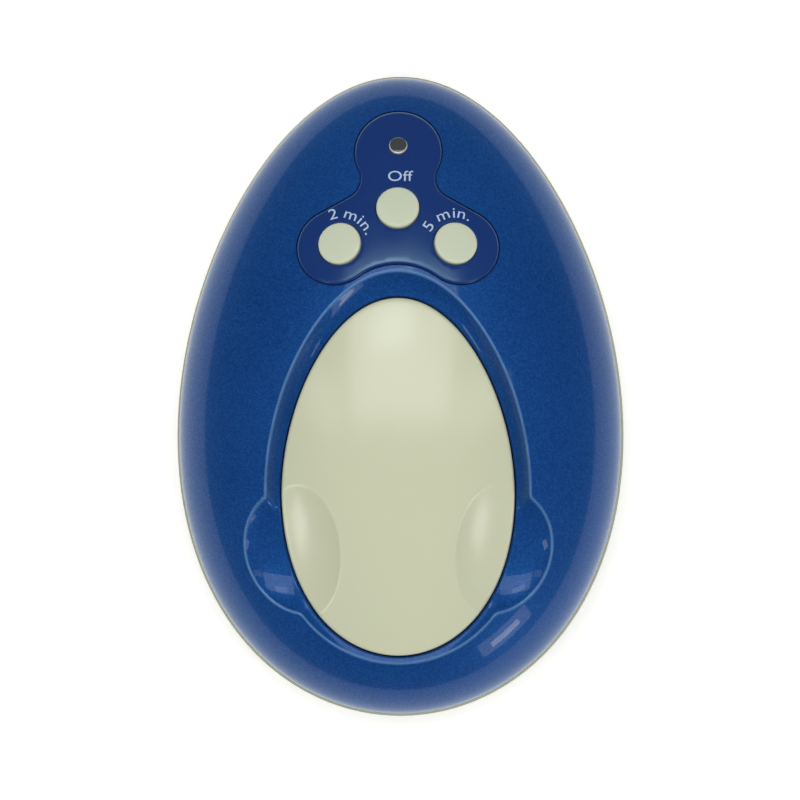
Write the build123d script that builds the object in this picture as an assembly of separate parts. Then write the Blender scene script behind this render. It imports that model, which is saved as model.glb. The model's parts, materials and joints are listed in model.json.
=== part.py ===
from build123d import *
import os
from collections import namedtuple
from math import cos, radians, sin, sqrt

# An egg-shaped table-top ultrasonic cleaner for contact lenses, in millimetres.
# +Z is up, +Y points at the narrow end, and the origin is on the table under the middle of the case.

Egg = namedtuple("Egg", "length half_width taper centre")

# ---- Case
case_egg = Egg(length=150.0, half_width=51.6, taper=0.13, centre=0.0)
parting_height = 15.5       # where the two shells meet
dome_rise = 29.0            # dome above the parting line
crown_place = -14.0         # y of the dome's highest point
bowl_depth = 23.0           # depth the lower shell would reach if it weren't cut flat
bottom_height = 1.5         # flat bottom above the table
rim_overhang = 0.5          # how far the lower shell stands out past the upper one
shell_wall = 2.4
seam_gap = 0.4              # shadow line round the upper shell's lower edge
lip_height = 1.6            # tongue of the lower shell inside the upper one
lip_inset = 2.75
rim_inset = 3.7
rim_depth = 3.0

# ---- Lid and the dish round it
lid_egg = Egg(length=81.0, half_width=26.3, taper=0.11, centre=-20.3)
lid_crown = (0.0, -9.5, 42.2)       # highest point of the lid
lid_radii = (66.0, 100.0, 60.0)     # half axes of the ellipsoid that its top is part of
lid_seat = 30.0                     # deck that the lid stands on
lid_gap = 0.35
lid_wall = 1.9
lid_edge_radius = 0.5
well_wall = 1.8
deck_thickness = 2.0
dish_edge_height = 36.3             # plane of the lid's edge, at the lid's middle
dish_tilt = 3.95                    # degrees that this plane rises towards the narrow end
dish_profile = [(-1.5, -0.6), (1.4, -0.45), (3.5, 0.35), (6.0, 1.95), (12.0, 5.8)]  # outwards, up
dish_narrowing = 0.5                # share of that width left at the lid's sides
dish_backing = 2.0

# ---- Finger scoops, one on each side, across both the shell and the lid
Scoop = namedtuple("Scoop", "half_across half_along depth ball")
scoop_place = (22.1, -37.3)
shell_scoop = Scoop(half_across=14.3, half_along=14.7, depth=6.3, ball=9.0)
lid_scoop = Scoop(half_across=8.3, half_along=13.8, depth=2.0, ball=8.0)
scoop_fall = 1.0            # how far the dome falls away inside a scoop's outline
scoop_wall = 2.0

# ---- Keypad
keypad_proud = 0.45
keypad_sunk = 0.9
keypad_gap = 0.12
keypad_edge_radius = 0.4
top_lobe = (0.0, 54.6, 10.0)        # x, y, radius
side_lobe = (14.2, 31.9, 8.8)
lobe_slope = 28.5                   # degrees of the edge from the side lobe up to the waist
waist_radius = 5.0
front_bay_radius = 15.4             # hollow in the keypad's front edge
front_bay_crest = 27.7              # y of the middle of that edge

off_place = (0.0, 40.7)
timer_place = (13.1, 32.45)
button_radius = 4.9
button_proud = 0.7
button_edge_radius = 0.45
button_travel = 0.6
button_gap = 0.2
flange_radius = 6.2
flange_top = -3.05
flange_thickness = 1.0
spotface_radius = 6.6
spotface_height = -2.75
stem_radius = 1.8
stem_end = -7.0             # below the face of the Off button's place, square to the keypad board

window_place = (0.0, 55.8)
window_radius = 2.15
window_sunk = 0.35
window_ledge = 0.35
window_slack = 0.05
window_edge_radius = 0.3

led_radius = 1.5
led_length = 3.4            # without its round nose
led_depth = 2.9             # from the keypad's face down to the nose
led_collar = (1.9, 0.9)     # radius, height
led_lead_radius = 0.25
led_lead_spacing = 2.54

# ---- Keypad board, in the frame of the Off button
plunger_length = 0.9
plunger_radius = 1.5
plunger_end_gap = 0.3       # left under the plunger when the button is pressed
switch_size = 6.0
switch_height = 3.4
switch_bore_radius = 1.8
switch_bore_depth = 2.4
keypad_board_top = stem_end - plunger_length - switch_height
board_thickness = 1.6
keypad_board_wide = (40.0, 13.0, -7.5)      # width, length, middle along the board
keypad_board_long = (18.0, 35.0, 3.5)
keypad_boss_places = [(-6.5, 7.5), (6.5, 7.5), (0.0, -11.3)]
keypad_boss_radius = 2.3
keypad_boss_end = 10.0              # past the dome
ribbon_place = 3.0                  # along the keypad board, from the Off button
ribbon_width = 8.0
ribbon_thickness = 0.7
ribbon_bend_radius = 4.0
ribbon_straight = 3.0
header_size = (10.0, 4.0)
header_height = 2.5

# ---- Tank
tank_egg = Egg(length=62.0, half_width=20.5, taper=0.10, centre=-20.0)
tank_wall = 0.8
tank_floor = 11.0           # underside of the tank
tank_corner_radius = 5.0
deck_lip = 0.5              # deck reaches over the tank's mouth by this
gasket_thickness = 0.8
flange_reach = 3.2
ring_reach = 9.0
ring_thickness = 2.0
ring_slack = 0.4
ring_screw_angles = [45, 135, 225, 315]
ring_screw_reach = 6.3
ring_boss_radius = 2.6
transducer_radius = 13.0
transducer_thickness = 3.2
transducer_lead_run = 2.2               # depth of the run below the disc
transducer_lead_turns = [6.0, 24.0, 46.0]   # along Y from the tank's middle
transducer_lead_places = [4.0, 7.0, 4.0]    # across, at each of these turns
transducer_lead_bend = 0.9

# ---- Lens carrier
cup_spacing = 14.4          # from the handle to each cup's middle
cup_radius = 9.6
cup_wall = 1.2
cup_floor = 14.0
cup_rim = 22.0
cup_corner = 2.5
cup_inner_corner = 1.5
cup_slots = 4
slot_width = 1.4
slot_margin = 3.0
bridge_width = 10.0         # plate under both cups
bridge_thickness = 1.4
leg_radius = 1.6
leg_offset = 3.3            # from a cup's middle outwards
middle_leg = (6.0, 3.0)
leg_overlap = 0.5
handle_size = (14.0, 2.2)
handle_top = 36.0
handle_corner = 4.0
hinge_offset = 2.9
hinge_height = 22.9
hinge_pin_radius = 0.8
hinge_clearance = 0.07
knuckle_radius = 1.6
knuckle_half_length = 4.4
knuckle_gap = 0.2
lug_thickness = 1.5
cap_thickness = 1.2
cap_crown = 0.7
cap_crown_inset = 2.0
cap_lift = 0.2              # gap between a cup's rim and its cap
cap_arm_width = 6.0
cap_arm_overlap = 1.2
cap_tab = (5.0, 3.0, 0.6)   # width, length, middle past the cap's edge

# ---- Main board
main_board_low = 7.0
main_board_front = (56.0, 22.0, 33.0)       # width, length, middle along Y
main_board_rear = (32.0, 12.0, 49.0)
main_board_posts = [(-24.0, 27.0), (24.0, 27.0), (-12.5, 51.5), (12.5, 51.5)]
post_radius = 2.6
transformer_place = (-13.0, 33.0)
transformer_core = (15.0, 5.0, 2.0, 13.0)   # width, length, low, high
transformer_bobbin = (9.0, 12.5, 0.0, 11.0)
capacitor_place = (6.0, 46.5)
capacitor_radius = 4.0
capacitor_height = 11.0
capacitor_edge_radius = 0.6
heat_sink_place = (14.0, 34.0)
heat_sink_plate = (18.0, 1.5, 0.0, 14.0)
heat_sink_fin = (1.2, 6.0, 1.0, 14.0)
heat_sink_fins = [-7.0, -2.3, 2.3, 7.0]
transistor_body = (10.0, 4.4, 2.5, 12.0)
transistor_leg = (0.8, 0.6, 0.0, 2.6)
transistor_pitch = 2.54

# ---- Power jack
jack_size = (9.0, 12.0, 9.0)
jack_front = 69.8
jack_height = 10.4
jack_bore_radius = 2.85
jack_bore_depth = 9.0
jack_pin_radius = 1.0
jack_pin_inset = 0.6
jack_pin_point = 0.4
jack_nose_radius = 3.9
jack_lead_offset = 2.5
jack_lead_height = 12.5
jack_lead_run = 6.5
jack_lead_bend = 1.5
jack_lead_slack = 0.3
housing_size = (16.0, 16.0)
housing_rear = 71.6
housing_low = 3.8
housing_corner = 3.0
jack_slack = 0.1

# ---- Fasteners, leads and feet
Screw = namedtuple("Screw", "radius head_radius head_height length")
case_screw = Screw(1.5, 2.7, 2.0, 16.0)
small_screw = Screw(1.0, 2.0, 1.4, 5.0)
pilot_clearance = 0.06
pilot_spare = 0.4           # how much deeper a pilot hole is than its screw
screw_slack = 0.2
board_screw_slack = 0.15
head_slack = 0.4
recess_length = 1.3         # of the cross in a screw's head, in radii of the head
recess_width = 0.3
case_screw_places = [(-31.0, -45.0), (31.0, -45.0), (-21.0, 50.0), (21.0, 50.0)]
case_post_radius = 3.6
case_screw_seat = 6.0
foot_places = [(-22.0, -36.0), (22.0, -36.0), (-20.0, 30.0), (20.0, 30.0)]
foot_radius = 4.5
foot_sunk = 1.0
foot_slack = 0.1
foot_edge_radius = 0.6
lead_radius = 0.6
sky = 60.0                  # a height clear above everything
far = 400.0                 # a length past everything


# ---- Shapes that the pieces share

def egg_point(angle, egg, grow=0.0):
    """Point on an egg outline: angle 0 is its narrow tip and 180 its broad tip."""
    c, s = cos(radians(angle)), sin(radians(angle))
    return Vector((egg.half_width + grow) * s * (1 - egg.taper * c), egg.centre + (egg.length / 2 + grow) * c, 0)


def egg_face(egg, grow=0.0):
    return make_face(Spline(*[egg_point(angle, egg, grow) for angle in range(0, 360, 15)], periodic=True))


def egg_prism(egg, grow, low, high):
    return extrude(Pos(0, 0, low) * egg_face(egg, grow), amount=high - low, dir=(0, 0, 1))


def half_egg(grow, height, side):
    """Upper (side 1) or lower (side -1) half of the case: its outline shrinks along an elliptic arc."""
    sections = []
    for angle in range(-10, 71, 10):
        shrink = cos(radians(angle))
        egg = Egg((case_egg.length + 2 * grow) * shrink, (case_egg.half_width + grow) * shrink,
                  case_egg.taper, crown_place * (1 - shrink))
        level = parting_height + side * (height + grow) * sin(radians(angle))
        sections.append(Pos(0, 0, level) * egg_face(egg))
    kept = block((far, far), parting_height, far) if side == 1 else block((far, far), -far, parting_height)
    return loft(sections) & kept


def dome(grow=0.0):
    return half_egg(grow, dome_rise, 1)


def half_width_at(y):
    along = 2 * y / case_egg.length
    return case_egg.half_width * sqrt(max(0, 1 - along * along)) * (1 - case_egg.taper * along)


def dome_height(x, y):
    """Height of the dome above the parting line, from the shrunken outline that passes through (x, y)."""
    low, high = 0.01, 1.0
    while high - low > 1e-9:
        shrink = (low + high) / 2
        if half_width_at(crown_place + (y - crown_place) / shrink) * shrink > abs(x):
            high = shrink
        else:
            low = shrink
    return dome_rise * sqrt(1 - high * high)


def dome_plane(x, y, raised=0.0):
    """Plane on the dome above (x, y), with its Z along the dome's outward normal."""
    step = 0.01
    slope_x = (dome_height(x + step, y) - dome_height(x - step, y)) / (2 * step)
    slope_y = (dome_height(x, y + step) - dome_height(x, y - step)) / (2 * step)
    normal = Vector(-slope_x, -slope_y, 1).normalized()
    place = Vector(x, y, parting_height + dome_height(x, y)) + normal * raised
    return Plane(origin=place, x_dir=(1, 0, slope_x), z_dir=normal)


def ellipsoid(radii):
    """Ellipsoid whose two poles lie on its Y axis."""
    ball = Rot(90, 0, 0) * Sphere(radii[2])
    return scale(ball, by=(radii[0] / radii[2], radii[1] / radii[2], 1))


def lid_ball(lowered=0.0):
    middle = lid_crown[2] - lid_radii[2] - lowered
    return Pos(lid_crown[0], lid_crown[1], middle) * ellipsoid(lid_radii)


def lid_plane(x, y):
    """Plane on the lid's domed top above (x, y), with its Z along the outward normal."""
    across = x / lid_radii[0]
    along = (y - lid_crown[1]) / lid_radii[1]
    up = sqrt(1 - across ** 2 - along ** 2)
    normal = Vector(across / lid_radii[0], along / lid_radii[1], up / lid_radii[2]).normalized()
    height = lid_crown[2] - lid_radii[2] + lid_radii[2] * up
    return Plane(origin=(x, y, height), x_dir=(1, 0, -normal.X / normal.Z), z_dir=normal)


def both_sides(shape):
    return shape + mirror(shape, about=Plane.YZ)


def scoops(kind, plane, grow=0.0):
    """Hollows for two fingertips: an ellipsoid sunk into a surface, in an oval outline, and its mirror image."""
    rise = kind.ball - kind.depth
    spread = sqrt(1 - ((rise + scoop_fall) / kind.ball) ** 2)
    radii = (kind.half_across / spread + grow, kind.half_along / spread + grow, kind.ball + grow)
    return both_sides(plane * Pos(0, 0, rise) * ellipsoid(radii))


def shell_scoops(grow=0.0):
    return scoops(shell_scoop, dome_plane(*scoop_place), grow)


def lid_scoops(grow=0.0):
    return scoops(lid_scoop, lid_plane(*scoop_place), grow)


def peg(radius, low, high, place=(0.0, 0.0)):
    """Upright cylinder between two heights."""
    return Pos(place[0], place[1], low) * Cylinder(radius, high - low, align=(Align.CENTER, Align.CENTER, Align.MIN))


def block(size, low, high, place=(0.0, 0.0)):
    """Upright box between two heights, centred on a place."""
    return Pos(place[0], place[1], low) * Box(size[0], size[1], high - low,
                                              align=(Align.CENTER, Align.CENTER, Align.MIN))


def screw(kind, seat, place, up=1):
    """Screw whose head bears at a height, with its shank going up (or down)."""
    shank = peg(kind.radius, 0, kind.length)
    head = peg(kind.head_radius, -kind.head_height, 0)
    head = fillet(head.edges().sort_by(Axis.Z)[0], kind.head_height / 3)
    slot = block((kind.head_radius * recess_length, kind.head_radius * recess_width),
                 -kind.head_height, -kind.head_height / 2)
    cross = slot + Rot(0, 0, 90) * slot
    turned = shank + head - cross
    return Pos(place[0], place[1], seat) * (turned if up == 1 else Rot(180, 0, 0) * turned)


def group(pieces):
    return Compound(children=list(pieces))


# ---- Keypad frames

off_plane = dome_plane(*off_place, keypad_proud)
left_plane = dome_plane(-timer_place[0], timer_place[1], keypad_proud)
right_plane = dome_plane(timer_place[0], timer_place[1], keypad_proud)
window_plane = dome_plane(*window_place, keypad_proud)


def switch_plane(button_plane):
    """Frame of the push switch under a button: where the button's axis meets the board."""
    normal = off_plane.z_dir
    fall = (button_plane.origin - off_plane.origin).dot(normal) - keypad_board_top
    distance = fall / button_plane.z_dir.dot(normal)
    place = button_plane.origin - button_plane.z_dir * distance
    return Plane(origin=place, x_dir=(1, 0, 0), z_dir=normal)


def keypad_outline(grow=0.0):
    """Three-lobed face: round lobes, a filleted waist and a hollow front edge, all tangent."""
    lobe = Vector(side_lobe[0], side_lobe[1], 0)
    lobe_radius = side_lobe[2] + grow
    top = Vector(top_lobe[0], top_lobe[1], 0)
    top_radius = top_lobe[2] + grow
    waist = waist_radius - grow
    bay = Vector(0, front_bay_crest - front_bay_radius, 0)
    outward = Vector(0, 1, 0).rotate(Axis.Z, -lobe_slope)
    touch = lobe + outward * lobe_radius
    along = outward.rotate(Axis.Z, 90)
    start = touch + outward * waist - top
    half = start.dot(along)
    reach = -half - sqrt(half ** 2 - start.dot(start) + (top_radius + waist) ** 2)
    waist_middle = top + start + along * reach
    neck = top + (waist_middle - top).normalized() * top_radius
    shoulder = waist_middle - outward * waist
    hollow = waist_middle + ((neck + shoulder) * 0.5 - waist_middle).normalized() * waist
    foot = lobe + (bay - lobe).normalized() * lobe_radius
    side = [
        ThreePointArc(neck, hollow, shoulder),
        Line(shoulder, touch),
        ThreePointArc(touch, lobe + Vector(lobe_radius, 0, 0), foot),
    ]
    crown = ThreePointArc(Vector(-neck.X, neck.Y, 0), top + Vector(0, top_radius, 0), neck)
    front = ThreePointArc(foot, Vector(0, front_bay_crest - grow, 0), Vector(-foot.X, foot.Y, 0))
    return make_face([crown, front] + side + [mirror(edge, about=Plane.YZ) for edge in side])


def keypad_prism(grow=0.0):
    return extrude(Pos(0, 0, parting_height) * keypad_outline(grow), amount=sky, dir=(0, 0, 1))


# ---- Shells

def dish():
    """Shallow dish round the lid, cut into the dome."""
    slope = Plane(origin=(0, lid_egg.centre, dish_edge_height), x_dir=(1, 0, 0),
                  z_dir=(0, -sin(radians(dish_tilt)), cos(radians(dish_tilt))))
    sections = []
    for outwards, up in dish_profile:
        outline = lid_egg._replace(length=lid_egg.length + 2 * outwards, centre=0.0,
                                   half_width=lid_egg.half_width + dish_narrowing * outwards)
        sections.append(slope * Pos(0, 0, up) * egg_face(outline))
    return loft(sections)


def cut_each(shape, tools):
    """Cut the tools out of a shape one by one."""
    for tool in tools:
        shape -= tool
    return shape


def make_top_shell():
    under_deck = lid_seat - deck_thickness
    ring_seat = under_deck - gasket_thickness - tank_wall
    corners = [egg_point(angle, tank_egg, ring_screw_reach) for angle in ring_screw_angles]
    posts = [peg(case_post_radius, 0, sky, place) for place in case_screw_places]
    hollow_dish = dish()

    kept = [Pos(0, 0, -dish_backing) * hollow_dish,
            egg_prism(lid_egg, lid_gap + well_wall, under_deck, sky),
            shell_scoops(scoop_wall)] + posts
    kept += [off_plane * peg(keypad_boss_radius, keypad_board_top, keypad_boss_end, place)
             for place in keypad_boss_places]
    kept += [peg(ring_boss_radius, ring_seat, lid_seat, (corner.X, corner.Y)) for corner in corners]
    shell = dome() - (dome(-shell_wall) - kept)

    shell -= [hollow_dish, egg_prism(lid_egg, lid_gap, lid_seat, sky), shell_scoops()]
    shell -= block((far, far), 0, parting_height + seam_gap) - posts
    shell -= [keypad_prism(keypad_gap) - dome(-keypad_sunk), egg_prism(tank_egg, -deck_lip, 0, sky)]

    holes = []
    for plane in (off_plane, left_plane, right_plane):
        holes.append(plane * peg(button_radius + button_gap, keypad_board_top, 1))
        holes.append(plane * peg(spotface_radius, keypad_board_top, spotface_height))
    holes.append(window_plane * peg(window_radius - window_ledge, keypad_board_top, 1))
    for place in case_screw_places:
        holes.append(peg(case_screw.radius + pilot_clearance, 0, case_screw_seat + case_screw.length + pilot_spare,
                         place))
    for corner in corners:
        holes.append(peg(small_screw.radius + pilot_clearance, 0,
                         ring_seat - ring_thickness + small_screw.length + pilot_spare, (corner.X, corner.Y)))
    for place in keypad_boss_places:
        seat = keypad_board_top - board_thickness
        holes.append(off_plane * peg(small_screw.radius + pilot_clearance, seat,
                                     seat + small_screw.length + pilot_spare, place))
    return cut_each(shell, holes)


def make_base_shell():
    floor_top = bottom_height + shell_wall
    rim_low = parting_height - rim_depth
    housing = block(housing_size, housing_low, parting_height, (0, housing_rear - housing_size[1] / 2))
    housing = fillet(housing.edges().filter_by(Axis.Y).sort_by(Axis.Z)[:2], housing_corner)
    posts = [peg(case_post_radius, 0, parting_height, place) for place in case_screw_places]
    board_posts = [peg(post_radius, 0, main_board_low, place) for place in main_board_posts]

    shell = half_egg(rim_overhang, bowl_depth, -1) & block((far, far), bottom_height, parting_height)
    hollow = half_egg(rim_overhang - shell_wall, bowl_depth, -1) & block((far, far), floor_top, rim_low)
    shell -= cut_each(hollow, posts + board_posts + [housing])
    shell -= cut_each(egg_prism(case_egg, -rim_inset, rim_low, parting_height), posts + [housing])
    shell += housing & egg_prism(case_egg, rim_overhang, 0, parting_height)
    shell += (egg_prism(case_egg, -lip_inset, parting_height, parting_height + lip_height)
              - egg_prism(case_egg, -rim_inset, parting_height, parting_height + lip_height))

    pocket = block((jack_size[0] + 2 * jack_slack, jack_size[1]), jack_height - jack_size[2] / 2, sky,
                   (0, jack_front - jack_size[1] / 2))
    notch = block((2 * (jack_lead_offset + lead_radius + jack_lead_slack), housing_size[1]),
                  jack_lead_height - lead_radius - jack_lead_slack, sky, (0, jack_front - jack_size[1]))
    nose = Pos(0, jack_front, jack_height) * Rot(-90, 0, 0) * peg(jack_nose_radius + jack_slack, -1, far)
    holes = [pocket, notch, nose]
    for place in main_board_posts:
        holes.append(peg(small_screw.radius + pilot_clearance,
                         main_board_low + board_thickness - small_screw.length - pilot_spare, main_board_low, place))
    for place in case_screw_places:
        holes.append(peg(case_screw.head_radius + head_slack, 0, case_screw_seat, place))
        holes.append(peg(case_screw.radius + screw_slack, 0, parting_height, place))
    for place in foot_places:
        holes.append(peg(foot_radius + foot_slack, 0, bottom_height + foot_sunk, place))
    return cut_each(shell, holes)


# ---- Lid

def make_lid():
    body = egg_prism(lid_egg, 0, lid_seat, sky) & lid_ball()
    rim = [edge for edge in body.edges() if edge.bounding_box().min.Z > lid_seat + 1]
    body = fillet(rim, lid_edge_radius)
    hollow = egg_prism(lid_egg, -lid_wall, 0, sky) & lid_ball(lid_wall)
    hollow -= lid_scoops(lid_wall)
    return body - hollow - lid_scoops()


# ---- Keypad

def make_keypad_panel():
    panel = (keypad_prism() & dome(keypad_proud)) - dome(-keypad_sunk)
    upper_face = panel.faces().filter_by(GeomType.BSPLINE).sort_by(Axis.Z)[-1]
    panel = fillet(upper_face.edges(), keypad_edge_radius)
    for plane in (off_plane, left_plane, right_plane):
        panel -= plane * peg(button_radius + button_gap, flange_top, 1)
    panel -= window_plane * peg(window_radius + window_slack, flange_top, 1)
    return panel


def make_button(plane):
    """Round cap with a flange under the shell and a stem cut off square to the board."""
    cap = peg(button_radius, flange_top - flange_thickness / 2, button_proud)
    cap = fillet(cap.edges().sort_by(Axis.Z)[-1], button_edge_radius)
    flange = peg(flange_radius, flange_top - flange_thickness, flange_top)
    stem = peg(stem_radius, 2 * stem_end, flange_top)
    whole = plane * (cap + flange + stem)
    return whole - off_plane * block((far, far), -sky, stem_end)


def make_switch(button_plane):
    body = block((switch_size, switch_size), 0, switch_height)
    body -= peg(switch_bore_radius, switch_height - switch_bore_depth, switch_height)
    return switch_plane(button_plane) * body


def make_plunger(button_plane):
    low = switch_height - switch_bore_depth + button_travel + plunger_end_gap
    return switch_plane(button_plane) * peg(plunger_radius, low, switch_height + plunger_length)


def make_indicator_lens():
    """Round window that rests on the floor of the keypad's pocket."""
    lens = peg(window_radius, flange_top, -window_sunk)
    return window_plane * fillet(lens.edges().sort_by(Axis.Z)[-1], window_edge_radius) - dome(-keypad_sunk)


def make_indicator_led():
    """Round LED on two leads, square to the keypad board, with its nose under the window."""
    normal = off_plane.z_dir
    fall = (window_plane.origin - off_plane.origin).dot(normal) - keypad_board_top
    high = fall - led_depth - led_radius
    low = high - led_length
    led = peg(led_collar[0], low, low + led_collar[1]) + peg(led_radius, low, high)
    led += Pos(0, 0, high) * Sphere(led_radius)
    for side in (-1, 1):
        led += peg(led_lead_radius, 0, low + led_collar[1] / 2, (side * led_lead_spacing / 2, 0))
    return Plane(origin=window_plane.origin - normal * fall, x_dir=(1, 0, 0), z_dir=normal) * led


def make_keypad_board():
    width, length, middle = keypad_board_wide
    board = block((width, length), keypad_board_top - board_thickness, keypad_board_top, (0, middle))
    width, length, middle = keypad_board_long
    board += block((width, length), keypad_board_top - board_thickness, keypad_board_top, (0, middle))
    for place in keypad_boss_places:
        board -= peg(small_screw.radius + board_screw_slack, -sky, 0, place)
    return off_plane * board


def make_keypad_board_screws():
    seat = keypad_board_top - board_thickness
    return group(off_plane * screw(small_screw, seat, place) for place in keypad_boss_places)


# ---- Tank

def make_tank():
    """Deep-drawn pan with a rounded floor and a flat flange."""
    mouth = lid_seat - deck_thickness - gasket_thickness
    outside = egg_prism(tank_egg, tank_wall, tank_floor, mouth)
    outside = fillet(outside.faces().sort_by(Axis.Z)[0].edges(), tank_corner_radius)
    inside = egg_prism(tank_egg, 0, tank_floor + tank_wall, mouth)
    inside = fillet(inside.faces().sort_by(Axis.Z)[0].edges(), tank_corner_radius - tank_wall)
    return outside + egg_prism(tank_egg, flange_reach, mouth - tank_wall, mouth) - inside


def make_tank_gasket():
    high = lid_seat - deck_thickness
    return (egg_prism(tank_egg, flange_reach, high - gasket_thickness, high)
            - egg_prism(tank_egg, 0, high - gasket_thickness, high))


def make_tank_clamp_ring():
    high = lid_seat - deck_thickness - gasket_thickness - tank_wall
    ring = egg_prism(tank_egg, ring_reach, high - ring_thickness, high)
    ring -= egg_prism(tank_egg, tank_wall + ring_slack, high - ring_thickness, high)
    for angle in ring_screw_angles:
        corner = egg_point(angle, tank_egg, ring_screw_reach)
        ring -= peg(small_screw.radius + board_screw_slack, 0, sky, (corner.X, corner.Y))
    return ring


def make_clamp_ring_screws():
    seat = lid_seat - deck_thickness - gasket_thickness - tank_wall - ring_thickness
    corners = [egg_point(angle, tank_egg, ring_screw_reach) for angle in ring_screw_angles]
    return group(screw(small_screw, seat, (corner.X, corner.Y)) for corner in corners)


def make_transducer():
    return peg(transducer_radius, tank_floor - transducer_thickness, tank_floor, (0, tank_egg.centre))


def lead(points, bend):
    """Round wire along straight runs joined by tangent arcs."""
    path = FilletPolyline(*points, radius=bend)
    return sweep(Plane(origin=path @ 0, z_dir=path % 0) * Circle(lead_radius), path=path)


def make_transducer_leads():
    """Two wires from the disc down, along under the main board and up to it."""
    low = tank_floor - transducer_thickness
    run = low - transducer_lead_run
    turns = [(across, tank_egg.centre + along)
             for across, along in zip(transducer_lead_places, transducer_lead_turns)]
    wires = []
    for side in (-1, 1):
        level = [(side * across, along, run) for across, along in turns]
        ends = [(side * turns[0][0], turns[0][1], low), (side * turns[-1][0], turns[-1][1], main_board_low)]
        wires.append(lead([ends[0]] + level + [ends[1]], transducer_lead_bend))
    return group(wires)


# ---- Lens carrier

def slots(radius, low, high):
    """Narrow slots across a round cup or cap, so that the fluid passes."""
    pitch = 2 * radius / (cup_slots + 1)
    cuts = []
    for index in range(cup_slots):
        step = index - (cup_slots - 1) / 2
        length = 2 * radius * (1 - abs(step) / cup_slots) - slot_margin
        cuts.append(block((length, slot_width), low, high, (0, step * pitch)))
    return cuts


def make_lens_carrier():
    """Two slotted cups on a bridge with legs, either side of a flat handle with two hinge pins."""
    middle = tank_egg.centre
    tank_bottom = tank_floor + tank_wall
    leg_top = cup_floor + leg_overlap
    carrier = block((bridge_width, 2 * cup_spacing), cup_floor, cup_floor + bridge_thickness, (0, middle))
    blade = block(handle_size, cup_floor, handle_top, (0, middle))
    blade = fillet(blade.edges().filter_by(Axis.Y).sort_by(Axis.Z)[-2:], handle_corner)
    carrier += blade
    for side in (-1, 1):
        centre = (0, middle + side * cup_spacing)
        cup = peg(cup_radius, cup_floor, cup_rim, centre)
        cup = fillet(cup.edges().sort_by(Axis.Z)[0], cup_corner)
        cavity = peg(cup_radius - cup_wall, cup_floor + cup_wall, cup_rim, centre)
        cavity = fillet(cavity.edges().sort_by(Axis.Z)[0], cup_inner_corner)
        carrier += cup
        carrier -= cavity
        for slot in slots(cup_radius - cup_wall, cup_floor - 1, cup_floor + 3):
            carrier -= Pos(centre[0], centre[1], 0) * slot
        carrier += peg(leg_radius, tank_bottom, leg_top, (0, centre[1] + side * leg_offset))
        lug_x = knuckle_half_length + knuckle_gap + lug_thickness / 2
        for end in (-1, 1):
            lug = Box(lug_thickness, hinge_offset + knuckle_radius - handle_size[1] / 2, 2 * knuckle_radius)
            reach = (hinge_offset + knuckle_radius + handle_size[1] / 2) / 2
            carrier += Pos(end * lug_x, middle + side * reach, hinge_height) * lug
        pin = Rot(0, 90, 0) * Cylinder(hinge_pin_radius, 2 * lug_x)
        carrier += Pos(0, middle + side * hinge_offset, hinge_height) * pin
    return carrier + block(middle_leg, tank_bottom, leg_top, (0, middle))


def make_cup_cap(side):
    """Slotted cap with a crowned top, a knuckle at the handle and a tab at the far edge."""
    middle = tank_egg.centre
    centre = (0, middle + side * cup_spacing)
    low = cup_rim + cap_lift
    high = low + cap_thickness
    cap = peg(cup_radius, low, high, centre)
    cap += peg(cup_radius - cap_crown_inset, high, high + cap_crown, centre)
    for slot in slots(cup_radius - cup_wall, low - 1, sky):
        cap -= Pos(centre[0], centre[1], 0) * slot
    arm_end = middle + side * hinge_offset
    arm_start = middle + side * (cup_spacing - cup_radius + cap_arm_overlap)
    cap += block((cap_arm_width, abs(arm_start - arm_end)), low, high, (0, (arm_start + arm_end) / 2))
    knuckle = Rot(0, 90, 0) * Cylinder(knuckle_radius, 2 * knuckle_half_length)
    cap += Pos(0, arm_end, hinge_height) * knuckle
    cap -= Pos(0, arm_end, hinge_height) * Rot(0, 90, 0) * Cylinder(hinge_pin_radius + hinge_clearance, far)
    return cap + block(cap_tab[:2], low, high, (0, centre[1] + side * (cup_radius + cap_tab[2])))


# ---- Main board and power

def make_main_board():
    high = main_board_low + board_thickness
    board = block(main_board_front[:2], main_board_low, high, (0, main_board_front[2]))
    board += block(main_board_rear[:2], main_board_low, high, (0, main_board_rear[2]))
    for place in main_board_posts:
        board -= peg(small_screw.radius + board_screw_slack, 0, sky, place)
    return board


def make_main_board_screws():
    seat = main_board_low + board_thickness
    return group(screw(small_screw, seat, place, up=-1) for place in main_board_posts)


def on_board(size, place):
    """Upright box on the main board, from its width, length, low and high above the board."""
    top = main_board_low + board_thickness
    return block(size[:2], top + size[2], top + size[3], place)


def make_driver_transformer():
    return on_board(transformer_core, transformer_place) + on_board(transformer_bobbin, transformer_place)


def make_filter_capacitor():
    low = main_board_low + board_thickness
    can = peg(capacitor_radius, low, low + capacitor_height, capacitor_place)
    return fillet(can.edges().sort_by(Axis.Z)[-1], capacitor_edge_radius)


def make_heat_sink():
    x, y = heat_sink_place
    fin_middle = y + (heat_sink_plate[1] + heat_sink_fin[1]) / 2
    fins = [on_board(heat_sink_fin, (x + place, fin_middle)) for place in heat_sink_fins]
    return on_board(heat_sink_plate, heat_sink_place) + fins


def make_power_transistor():
    x = heat_sink_place[0]
    y = heat_sink_place[1] - (heat_sink_plate[1] + transistor_body[1]) / 2
    legs = [on_board(transistor_leg, (x + place * transistor_pitch, y)) for place in (-1, 0, 1)]
    return on_board(transistor_body, (x, y)) + legs


def ribbon_points():
    """Upper header's face, the ribbon's bend, and the lower header's face."""
    head = off_plane.from_local_coords(Vector(0, ribbon_place, keypad_board_top - board_thickness - header_height))
    bend = head - off_plane.z_dir * ribbon_straight
    return head, bend, Vector(0, bend.Y, main_board_low + board_thickness + header_height)


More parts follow.
